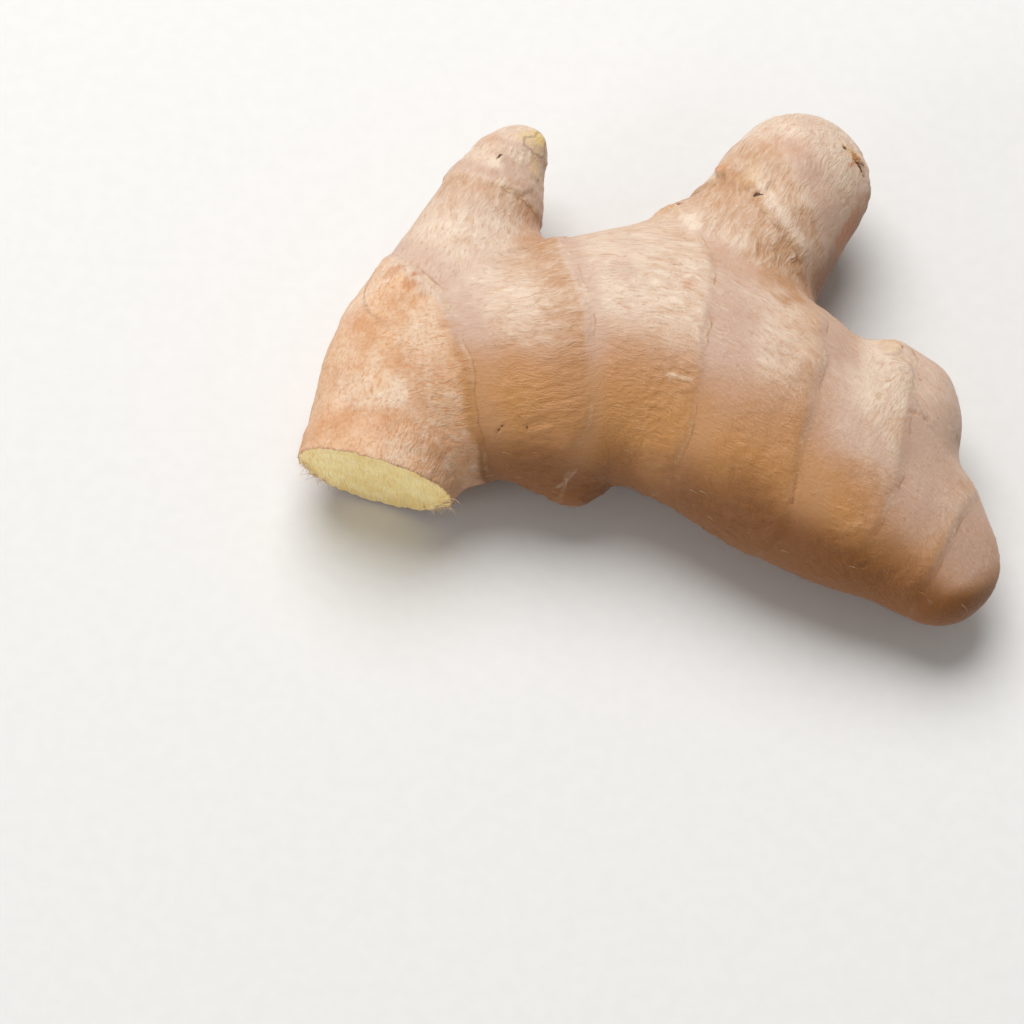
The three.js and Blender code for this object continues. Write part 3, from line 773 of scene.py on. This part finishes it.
    depth = given["flesh_depth"]
    cells = add_node(tree, "ShaderNodeTexVoronoi", {
        "Vector": place, "Scale": 1 / (1.1 * MM), "Randomness": 1.0}).outputs["Distance"]
    upright = add_node(tree, "ShaderNodeVectorMath", {
        0: place, 1: (1 / (0.5 * MM), 1 / (0.5 * MM), 1 / (4 * MM))}, operation="MULTIPLY").outputs[0]
    strands = add_node(tree, "ShaderNodeTexNoise", {
        "Vector": upright, "Scale": 1.0, "Detail": 2.0}).outputs["Fac"]
    flesh = layered(tree, c["flesh_rim"], (
        (c["flesh"], (depth, 0.5, 2.6, 0.0, 1.0)),
        (c["flesh_deep"], (mottle["pulp"], 0.4, 0.64, 0.0, 0.5)),
        (c["flesh_deep"], (strands, 0.5, 0.36, 0.0, 0.35)),
        (c["cream"], (strands, 0.55, 0.75, 0.0, 0.4)),
        (c["flesh_rim"], (cells, 0.26, 0.06, 0.0, 0.35)),
        (c["flesh_deep"], (depth, 1.7, 2.1, 0.0, 1.0), (depth, 2.9, 2.4, 0.0, 0.45)),
    ))
    base = layered(tree, skin_tone, (
        (c["worn"], (depth, 0.05, 0.2, 0.0, 0.2)),
        (flesh, (depth, 0.15, 0.4, 0.0, 1.0)),
    ))

    is_flesh = add_node(tree, "ShaderNodeMapRange", {0: depth, 1: 0.15, 2: 0.4}).outputs[0]
    silky = add_node(tree, "ShaderNodeMapRange", {0: fibres, 1: 0.3, 2: 0.7, 3: 0.58, 4: 0.46})
    corky = add_node(tree, "ShaderNodeMath", {
        0: old, 1: 0.14, 2: silky.outputs[0]}, operation="MULTIPLY_ADD")
    rough = add_node(tree, "ShaderNodeMix", {
        0: is_flesh, 2: corky.outputs[0], 3: 0.36}, data_type="FLOAT").outputs[0]

    height = 0.0
    for value, mask, least, most in (
            (fine, given["young"], 0.85, 0.35), (streaks["broad"], given["young"], 0.3, 0.1),
            (speck, old, 0.25, 0.35), (grit, old, 0.0, 0.6)):
        share = add_node(tree, "ShaderNodeMapRange", {0: mask, 3: least, 4: most}).outputs[0]
        height = add_node(tree, "ShaderNodeMath", {0: value, 1: share, 2: height},
                          operation="MULTIPLY_ADD").outputs[0]
    pulp = add_node(tree, "ShaderNodeMath", {0: strands, 1: 0.5}, operation="ADD").outputs[0]
    height = add_node(tree, "ShaderNodeMix", {
        0: is_flesh, 2: height, 3: pulp}, data_type="FLOAT").outputs[0]
    bump = add_node(tree, "ShaderNodeBump", {"Strength": 0.8, "Distance": 0.0004, "Height": height})

    shader = add_node(tree, "ShaderNodeBsdfPrincipled", {
        "Base Color": base, "Roughness": rough, "Normal": bump.outputs["Normal"], "IOR": 1.42,
        "Subsurface Weight": 0.1, "Subsurface Radius": (1.0, 0.45, 0.2), "Subsurface Scale": 0.0014,
        "Sheen Weight": 0.15, "Sheen Roughness": 0.4, "Sheen Tint": linear("#FFF1E8")})
    add_node(tree, "ShaderNodeOutputMaterial", {"Surface": shader.outputs[0]})
    return material


def papery_material(name, main, over):
    """Dry plant tissue, thin and veined. To the eye it is matt straw with paler veins."""
    material, tree = new_material(name)
    place = add_node(tree, "ShaderNodeTexCoord").outputs["Object"]
    veins = add_node(tree, "ShaderNodeTexNoise", {
        "Vector": place, "Scale": 1 / (0.8 * MM), "Detail": 3.0, "Roughness": 0.65}).outputs["Fac"]
    base = layered(tree, main, ((over, (veins, 0.4, 0.65, 0.0, 0.8)),))
    bump = add_node(tree, "ShaderNodeBump", {
        "Strength": 0.6, "Distance": 0.0002, "Height": veins}).outputs["Normal"]
    shader = add_node(tree, "ShaderNodeBsdfPrincipled", {
        "Base Color": base, "Roughness": 0.6, "Normal": bump, "IOR": 1.45,
        "Subsurface Weight": 0.1, "Subsurface Radius": (1.0, 0.6, 0.3), "Subsurface Scale": 0.0008})
    add_node(tree, "ShaderNodeOutputMaterial", {"Surface": shader.outputs[0]})
    return material


def new_object(name, mesh):
    shown = bpy.data.objects.new(name, mesh)
    bpy.context.scene.collection.objects.link(shown)
    return shown


def mesh_in_mm(name, points, faces):
    mesh = bpy.data.meshes.new(name)
    mesh.from_pydata((np.asarray(points) * MM).tolist(), [], faces)
    mesh.update()
    return mesh


def finished_mesh(worked):
    """The evaluated mesh of an object with modifiers, which is then taken away."""
    depsgraph = bpy.context.evaluated_depsgraph_get()
    mesh = bpy.data.meshes.new_from_object(worked.evaluated_get(depsgraph))
    bpy.data.objects.remove(worked)
    return mesh


def write_values(mesh, name, values):
    """Stores one number or one vector for each vertex."""
    kind, field = ("FLOAT", "value") if values.ndim == 1 else ("FLOAT_VECTOR", "vector")
    attribute = mesh.attributes.new(name, kind, "POINT")
    attribute.data.foreach_set(field, np.ascontiguousarray(values, np.float32).ravel())


def read_values(mesh, name):
    attribute = mesh.attributes[name]
    wide = 3 if attribute.data_type == "FLOAT_VECTOR" else 1
    values = np.zeros(len(attribute.data) * wide, np.float32)
    attribute.data.foreach_get("vector" if wide == 3 else "value", values)
    return values.reshape(-1, 3) if wide == 3 else values


def vertex_points(mesh):
    """The mesh's vertices in mm."""
    flat = np.zeros(len(mesh.vertices) * 3, np.float32)
    mesh.vertices.foreach_get("co", flat)
    return flat.reshape(-1, 3).astype(float) / MM


def shade_smooth(mesh):
    mesh.polygons.foreach_set("use_smooth", np.ones(len(mesh.polygons), bool))
    mesh.update()


def even_copy(cell):
    """A copy of the solid, merged and covered in even faces."""
    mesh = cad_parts[NODE].data.copy()
    merged = bmesh.new()
    merged.from_mesh(mesh)
    bmesh.ops.remove_doubles(merged, verts=merged.verts, dist=1e-6)
    merged.to_mesh(mesh)
    merged.free()
    worked = new_object("even_skin", mesh)
    remesh = worked.modifiers.new("even", "REMESH")
    remesh.mode = "VOXEL"
    remesh.voxel_size = cell
    return finished_mesh(worked)


class GINGER_OT_rhizome(bpy.types.Operator):
    """Grows the rhizome's skin with its rings, wrinkles and scars, and cuts its old stub"""
    bl_idname = "ginger.rhizome"
    bl_label = "Rhizome"

    def execute(self, context):
        form, colours = context.scene.ginger_form, context.scene.ginger_colours
        mesh = even_copy(form.cell)
        mesh.name = RHIZOME
        start, _ = settle(vertex_points(mesh), 0.0, 2)
        surface = Surface(start, form)
        inner = -bare_skin(start)
        cut_relief = 0.12 * noise_at(start, 3.0, 93) + 0.07 * noise_at(start, (0.7, 0.7, 5), 94)
        cut_relief += 0.5 * smooth_step(1.0, 0.3, inner) * noise_at(start, 0.9, 95)
        points, out = settle(start, surface.relief, 3, cut_relief)
        mesh.vertices.foreach_set("co", (points * MM).astype(np.float32).ravel())
        mesh.materials.clear()
        mesh.materials.append(ginger_skin_material(colours))

        depth = surface.relief - bare_skin(points)
        depth[past_cut(points) < -2.0] = 0.0
        bud_gap = np.linalg.norm(points - BUD_TIP, axis=1)
        bud = smooth_step(3.2, 1.0, bud_gap + 0.8 * noise_at(points, 2.0, 90))
        # Painted shade: skin that faces away from the key light takes the brown under colour, less on the
        # side limbs and towards the young tip.
        lower_shade = np.clip((1.0 - surface.facing - 0.14 * noise_at(points, 11, 92)) / 0.95, 0, 1.2)
        lower_shade *= 1 - 0.7 * surface.side_share * (1 - surface.old)
        lower_shade *= 1 - 0.4 * smooth_step(28, 50, points[:, 0])
        # Painted shade: the dark underside colour on skin turned down, reaching higher from the middle to
        # the right end.
        turned = surface.facing + 0.1 * noise_at(points, 8, 97)
        turned -= 0.3 * smooth_step(-5, 20, points[:, 0])
        belly_shade = smooth_step(0.0, -0.65, turned)
        values = {
            "body_grain": surface.body_grain, "side_grain": surface.side_grain,
            "side_share": surface.side_share, "lower_side_shade": lower_shade, "belly_shade": belly_shade,
            "crinkle": surface.crinkle,
            "line_gap": surface.line_gap, "torn": surface.torn, "pale_edge_and_highlight": surface.pale_edge_and_highlight,
            "crack_gap": surface.crack_gap, "dark": surface.dark, "old_skin": surface.old,
            "young": surface.tone["young"] * (1 - surface.old), "warm": surface.tone["warm"],
            "worn": surface.tone["worn"], "bud": np.maximum(surface.tone["bud"], bud),
            "cream": surface.tone["cream"],
            "flesh_depth": depth, "growth": surface.growth, "out": out,
        }
        for name, value in values.items():
            write_values(mesh, name, value)
        shade_smooth(mesh)

        rhizome = new_object(RHIZOME, mesh)
        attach(rhizome, "root")
        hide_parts(NODE)
        return {"FINISHED"}


def scatter_tree():
    """A geometry tree that sets copies of a shape on points, along growth and out of the skin."""
    tree = bpy.data.node_groups.new("Scatter on skin", "GeometryNodeTree")
    face = tree.interface
    face.new_socket("Geometry", in_out="INPUT", socket_type="NodeSocketGeometry")
    for name, kind in (("Shape", "NodeSocketObject"), ("Smallest", "NodeSocketFloat"),
                       ("Largest", "NodeSocketFloat"), ("Turn", "NodeSocketFloat"),
                       ("Seed", "NodeSocketInt"), ("Finish", "NodeSocketMaterial")):
        face.new_socket(name, in_out="INPUT", socket_type=kind)
    face.new_socket("Geometry", in_out="OUTPUT", socket_type="NodeSocketGeometry")
    given = add_node(tree, "NodeGroupInput").outputs

    shape = add_node(tree, "GeometryNodeObjectInfo", {"Object": given["Shape"]}).outputs["Geometry"]
    points = add_node(tree, "GeometryNodeMeshToPoints", {"Mesh": given["Geometry"]}).outputs[0]
    aligned = (0.0, 0.0, 0.0)
    for name, axis, pivot in (("out", "Z", "AUTO"), ("growth", "X", "Z")):
        way = add_node(tree, "GeometryNodeInputNamedAttribute", {"Name": name},
                       data_type="FLOAT_VECTOR").outputs["Attribute"]
        aligned = add_node(tree, "FunctionNodeAlignRotationToVector", {
            "Rotation": aligned, "Vector": way}, axis=axis, pivot_axis=pivot).outputs[0]
    back = add_node(tree, "ShaderNodeMath", {0: given["Turn"], 1: -1.0}, operation="MULTIPLY").outputs[0]
    turn = add_node(tree, "FunctionNodeRandomValue", {
        2: back, 3: given["Turn"], "Seed": given["Seed"]}, data_type="FLOAT").outputs[1]
    about = add_node(tree, "ShaderNodeCombineXYZ", {"Z": turn}).outputs[0]
    about = add_node(tree, "FunctionNodeEulerToRotation", {0: about}).outputs[0]
    turned = add_node(tree, "FunctionNodeRotateRotation", {"Rotation": aligned, "Rotate By": about},
                      rotation_space="LOCAL").outputs[0]
    other = add_node(tree, "ShaderNodeMath", {0: given["Seed"], 1: 7.0}, operation="ADD").outputs[0]
    size = add_node(tree, "FunctionNodeRandomValue", {
        2: given["Smallest"], 3: given["Largest"], "Seed": other}, data_type="FLOAT").outputs[1]
    copies = add_node(tree, "GeometryNodeInstanceOnPoints", {
        "Points": points, "Instance": shape, "Rotation": turned, "Scale": size}).outputs[0]
    real = add_node(tree, "GeometryNodeRealizeInstances", {"Geometry": copies}).outputs[0]
    finish = add_node(tree, "GeometryNodeSetMaterial", {
        "Geometry": real, "Material": given["Finish"]}).outputs[0]
    add_node(tree, "NodeGroupOutput", {"Geometry": finish})
    return tree


def scatter(name, places, shape, smallest, largest, turn, seed, finish):
    """One piece made of copies of shape at places, which holds points, out and growth in mm."""
    points, out, growth = places
    mesh = mesh_in_mm(name, points, [])
    write_values(mesh, "out", out)
    write_values(mesh, "growth", growth)
    worked = new_object(name + "_places", mesh)
    tree = bpy.data.node_groups.get("Scatter on skin") or scatter_tree()
    modifier = worked.modifiers.new("scatter", "NODES")
    modifier.node_group = tree
    values = dict(Shape=shape, Smallest=smallest, Largest=largest, Turn=turn, Seed=seed, Finish=finish)
    for item in tree.interface.items_tree:
        if item.in_out == "INPUT" and item.name in values:
            modifier[item.identifier] = values[item.name]
    made = finished_mesh(worked)
    bpy.data.objects.remove(shape)
    if not made.polygons:
        raise RuntimeError(f"{name} came out empty")
    made.name = name
    shade_smooth(made)
    piece = new_object(name, made)
    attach(piece, "root")
    return piece


def fibre(length, thick, lift):
    """A fine fibre that starts in the skin and bends away from it, closed at both ends."""
    sides, steps = 3, 4
    points, faces = [], []
    for k in range(steps + 1):
        share = k / steps
        wide = thick * (1 - 0.8 * share)
        for s in range(sides):
            turn = math.tau * s / sides
            points.append((
                length * share,
                0.14 * length * math.sin(2.4 * share) + wide * math.cos(turn),
                -0.05 + lift * share**2 + wide * math.sin(turn)))
    for k in range(steps):
        for s in range(sides):
            a, b = k * sides + s, k * sides + (s + 1) % sides
            faces.append((a, a + sides, b + sides, b))
    faces.append(tuple(range(sides)))
    faces.append(tuple(reversed(range(steps * sides, (steps + 1) * sides))))
    mesh = mesh_in_mm("fibre", points, faces)
    turned = bmesh.new()
    turned.from_mesh(mesh)
    bmesh.ops.recalc_face_normals(turned, faces=turned.faces)
    turned.to_mesh(mesh)
    turned.free()
    return new_object("fibre", mesh)


def rhizome_skin(*names):
    """Points of the skin in mm, and the values stored there under the names."""
    mesh = bpy.data.objects[RHIZOME].data
    return vertex_points(mesh), *(read_values(mesh, name) for name in names)


def spaced(points, gap):
    """Indexes of points that keep at least gap mm between them, taken in order."""
    kept = []
    for i, point in enumerate(points):
        if all(np.abs(points[k] - point).max() > gap for k in kept[-400:]):
            kept.append(i)
    return kept


class GINGER_OT_ring_fringe(bpy.types.Operator):
    """Sets torn strands of leaf scale along the rings"""
    bl_idname = "ginger.ring_fringe"
    bl_label = "Ring fringe"

    def execute(self, context):
        form, colours = context.scene.ginger_form, context.scene.ginger_colours
        points, out, growth, pale_edge_and_highlight, gap = rhizome_skin("out", "growth", "pale_edge_and_highlight", "line_gap")
        dice = np.random.default_rng(11)
        line = np.flatnonzero((pale_edge_and_highlight > 0.55) & (np.abs(gap + 0.3) < 0.3) & (points[:, 2] > 2.5))
        dice.shuffle(line)
        found = line[spaced(points[line], form.fringe_spacing / MM)]
        around = np.cross(out[found], growth[found])
        finish = papery_material("Torn leaf scale fringe", tuple(colours.fibre), tuple(colours.worn))
        places = points[found], out[found], around
        scatter("Ginger_Ring_Fringe", places, fibre(2.0, 0.065, 0.2), 0.4, 1.0, 0.5, 3, finish)
        return {"FINISHED"}


class GINGER_OT_fibres(bpy.types.Operator):
    """Sets loose fibres on the skin and short fibre ends below the cut"""
    bl_idname = "ginger.fibres"
    bl_label = "Fibres"

    def execute(self, context):
        form, colours = context.scene.ginger_form, context.scene.ginger_colours
        points, out, growth, depth = rhizome_skin("out", "growth", "flesh_depth")
        dice = np.random.default_rng(23)
        finish = papery_material("Dry plant fibre", tuple(colours.fibre), tuple(colours.pale))
        skin_only = np.flatnonzero((points[:, 2] > 2.5) & (depth < 0.15) & (past_cut(points) < -1.5))
        chosen = dice.choice(skin_only, form.fibre_count, replace=False)
        places = points[chosen], out[chosen], growth[chosen]
        scatter("Ginger_Skin_Fibres", places, fibre(2.0, 0.04, 0.16), 0.35, 1.1, 0.3, 5, finish)
        at_cut = (past_cut(points) > -1.0) & (np.abs(points[:, 2] - 9.0) < 5)
        rim = np.flatnonzero((depth > 0.1) & (depth < 0.8) & at_cut)
        chosen = dice.choice(rim, min(form.cut_fibre_count, len(rim)), replace=False)
        facing = direction(KNIFE_CUT["heading"], KNIFE_CUT["rise"])
        along = np.cross(np.tile(facing, (len(chosen), 1)), dice.normal(size=(len(chosen), 3)))
        places = points[chosen], facing + 0.9 * out[chosen], along + 0.5 * facing
        scatter("Ginger_Cut_Fibres", places, fibre(1.5, 0.07, 0.7), 0.4, 1.8, 0.7, 7, finish)
        return {"FINISHED"}


class GINGER_OT_stage(bpy.types.Operator):
    """Makes the pale floor, the soft lights and the camera"""
    bl_idname = "ginger.stage"
    bl_label = "Stage"

    def execute(self, context):
        stage, colours = context.scene.ginger_stage, context.scene.ginger_colours
        mesh = mesh_in_mm("Floor", [(x * FLOOR_HALF, y * FLOOR_HALF, -FLOOR_GAP) for x, y in (
            (-1, -1), (1, -1), (1, 1), (-1, 1))], [(0, 1, 2, 3)])
        material, tree = new_material("Matt white studio paper")
        place = add_node(tree, "ShaderNodeTexCoord").outputs["Object"]
        pulp = add_node(tree, "ShaderNodeTexNoise", {
            "Vector": place, "Scale": 1 / (3 * MM), "Detail": 2.0}).outputs["Fac"]
        tone = layered(tree, tuple(colours.floor), ((linear("#E4E3E1"), (pulp, 0.3, 0.7, 0.0, 1.0)),))
        shader = add_node(tree, "ShaderNodeBsdfPrincipled", {"Base Color": tone, "Roughness": 0.9})
        add_node(tree, "ShaderNodeOutputMaterial", {"Surface": shader.outputs[0]})
        mesh.materials.append(material)
        new_object("Floor", mesh)

        world = bpy.data.worlds.new("Pale surroundings")
        world.use_nodes = True
        background = world.node_tree.nodes["Background"]
        background.inputs["Color"].default_value = linear("#FBF9F6")
        background.inputs["Strength"].default_value = stage.ambient
        context.scene.world = world
        self.add_light("Key", KEY_PLACE, KEY_WIDTH, stage.key)
        self.add_light("Fill", FILL_PLACE, FILL_WIDTH, stage.fill)
        context.scene.view_settings.view_transform = "Standard"

        camera = bpy.data.cameras.new("Camera")
        camera.sensor_width = 36.0
        camera.lens = camera.sensor_width * stage.scale * stage.distance / MM / IMAGE_SIDE
        camera.clip_start, camera.clip_end = 0.05, 20
        seen_from = bpy.data.objects.new("Camera", camera)
        context.scene.collection.objects.link(seen_from)
        back = Vector((0, -math.cos(stage.elevation), math.sin(stage.elevation)))
        seen_from.location = Vector(stage.aim) + back * stage.distance
        seen_from.rotation_euler = (math.pi / 2 - stage.elevation, 0, 0)
        context.scene.camera = seen_from
        return {"FINISHED"}

    def add_light(self, name, place, side, power):
        light = bpy.data.lights.new(name, "AREA")
        light.shape, light.size, light.energy = "DISK", side, power
        lamp = bpy.data.objects.new(name, light)
        lamp.location = place
        lamp.rotation_euler = (-Vector(place)).to_track_quat("-Z", "Y").to_euler()
        bpy.context.scene.collection.objects.link(lamp)


class GINGER_PT_panel(bpy.types.Panel):
    """Lists the steps in the sidebar"""
    bl_idname = "GINGER_PT_panel"
    bl_label = "Ginger root"
    bl_space_type = "VIEW_3D"
    bl_region_type = "UI"
    bl_category = "Ginger"

    def draw(self, context):
        for operator in OPERATORS:
            self.layout.operator(operator.bl_idname)


OPERATORS = (
    GINGER_OT_rhizome,
    GINGER_OT_ring_fringe,
    GINGER_OT_fibres,
    GINGER_OT_stage,
)
GROUPS = {"ginger_form": GingerForm, "ginger_colours": GingerColours, "ginger_stage": GingerStage}


def register():
    for kind in (*GROUPS.values(), *OPERATORS, GINGER_PT_panel):
        bpy.utils.register_class(kind)
    for name, group in GROUPS.items():
        setattr(bpy.types.Scene, name, bpy.props.PointerProperty(type=group))


def unregister():
    for name in GROUPS:
        delattr(bpy.types.Scene, name)
    for kind in reversed((*GROUPS.values(), *OPERATORS, GINGER_PT_panel)):
        bpy.utils.unregister_class(kind)


def main():
    register()
    bpy.ops.ginger.rhizome()
    bpy.ops.ginger.ring_fringe()
    bpy.ops.ginger.fibres()
    bpy.ops.ginger.stage()
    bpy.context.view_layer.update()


if __name__ == "__main__":
    main()
